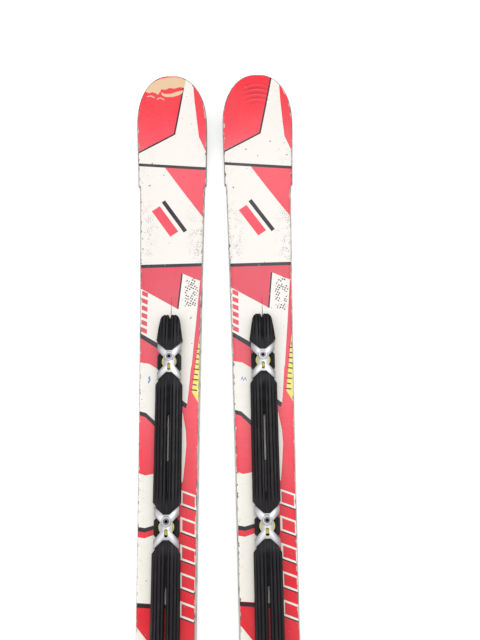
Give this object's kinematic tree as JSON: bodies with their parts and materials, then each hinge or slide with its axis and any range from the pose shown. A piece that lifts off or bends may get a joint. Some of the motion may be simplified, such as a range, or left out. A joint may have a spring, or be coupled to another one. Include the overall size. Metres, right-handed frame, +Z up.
{
  "type": "pair of alpine race skis",
  "caption": "Pair of laminated alpine race skis lying side by side, with steel edges, binding plates and floating decks held by X brackets.",
  "frame": {"origin": "on the ground under the middle of the pair, halfway along the skis and halfway between them", "axes": "+Y along the skis towards the tips, +X towards the right ski, +Z up through the bindings' plates"},
  "size_m": [0.209, 1.88, 0.0554],
  "materials": {
    "running_base": "sintered polyethylene, stone ground",
    "edge_steel": "ground",
    "titanal": "rolled sheet",
    "core_wood": "laminated poplar",
    "sidewall": "milled phenolic sheet",
    "topsheet": "printed gloss sheet in red, white and black",
    "black_plastic": "injection moulded, ribbed",
    "tip_plastic": "moulded",
    "tail_plastic": "moulded",
    "bracket_silver": "cast and satin anodised",
    "screw_steel": "zinc plated",
    "damper_elastomer": "yellow elastomer"
  },
  "bodies": {
    "left_ski": {"left_base": "running_base", "left_edge_left": "edge_steel", "left_edge_right": "edge_steel", "left_lower_titanal": "titanal", "left_core": "core_wood", "left_sidewall_left": "sidewall", "left_sidewall_right": "sidewall", "left_upper_titanal": "titanal", "left_topsheet": "topsheet", "left_tip_insert": "tip_plastic", "left_tail_protector": "tail_plastic", "left_toe_plate": "black_plastic", "left_heel_plate": "black_plastic", "left_first_housing": "black_plastic", "left_first_puck": "damper_elastomer", "left_second_housing": "black_plastic", "left_second_puck": "damper_elastomer", "left_rear_housing": "black_plastic", "left_rear_puck": "damper_elastomer"},
    "left_front_deck": {"left_front_deck_nose": "black_plastic", "left_front_deck_mid": "black_plastic", "left_front_deck_root": "black_plastic", "left_first_x_bracket": "bracket_silver", "left_first_bracket_screw": "screw_steel", "left_second_x_bracket": "bracket_silver", "left_second_bracket_screw": "screw_steel"},
    "left_rear_deck": {"left_rear_deck_root": "black_plastic", "left_rear_deck_tail": "black_plastic", "left_rear_x_bracket": "bracket_silver", "left_rear_bracket_screw": "screw_steel"},
    "right_ski": {"right_base": "running_base", "right_edge_left": "edge_steel", "right_edge_right": "edge_steel", "right_lower_titanal": "titanal", "right_core": "core_wood", "right_sidewall_left": "sidewall", "right_sidewall_right": "sidewall", "right_upper_titanal": "titanal", "right_topsheet": "topsheet", "right_tip_insert": "tip_plastic", "right_tail_protector": "tail_plastic", "right_toe_plate": "black_plastic", "right_heel_plate": "black_plastic", "right_first_housing": "black_plastic", "right_first_puck": "damper_elastomer", "right_second_housing": "black_plastic", "right_second_puck": "damper_elastomer", "right_rear_housing": "black_plastic", "right_rear_puck": "damper_elastomer"},
    "right_front_deck": {"right_front_deck_nose": "black_plastic", "right_front_deck_mid": "black_plastic", "right_front_deck_root": "black_plastic", "right_first_x_bracket": "bracket_silver", "right_first_bracket_screw": "screw_steel", "right_second_x_bracket": "bracket_silver", "right_second_bracket_screw": "screw_steel"},
    "right_rear_deck": {"right_rear_deck_root": "black_plastic", "right_rear_deck_tail": "black_plastic", "right_rear_x_bracket": "bracket_silver", "right_rear_bracket_screw": "screw_steel"}
  },
  "joints": [
    {"name": "left_front_deck_float", "type": "slide", "parent": "left_ski", "child": "left_front_deck", "axis": [0, 1, 0], "range_m": [0, 0.003], "stiffness_N_per_m": 4000},
    {"name": "left_rear_deck_float", "type": "slide", "parent": "left_ski", "child": "left_rear_deck", "axis": [0, -1, 0], "range_m": [0, 0.003], "stiffness_N_per_m": 4000},
    {"name": "right_ski_apart", "type": "slide", "parent": "left_ski", "child": "right_ski", "axis": [1, 0, 0], "range_m": [0, 0.2]},
    {"name": "right_front_deck_float", "type": "slide", "parent": "right_ski", "child": "right_front_deck", "axis": [0, 1, 0], "range_m": [0, 0.003], "stiffness_N_per_m": 4000},
    {"name": "right_rear_deck_float", "type": "slide", "parent": "right_ski", "child": "right_rear_deck", "axis": [0, -1, 0], "range_m": [0, 0.003], "stiffness_N_per_m": 4000}
  ]
}
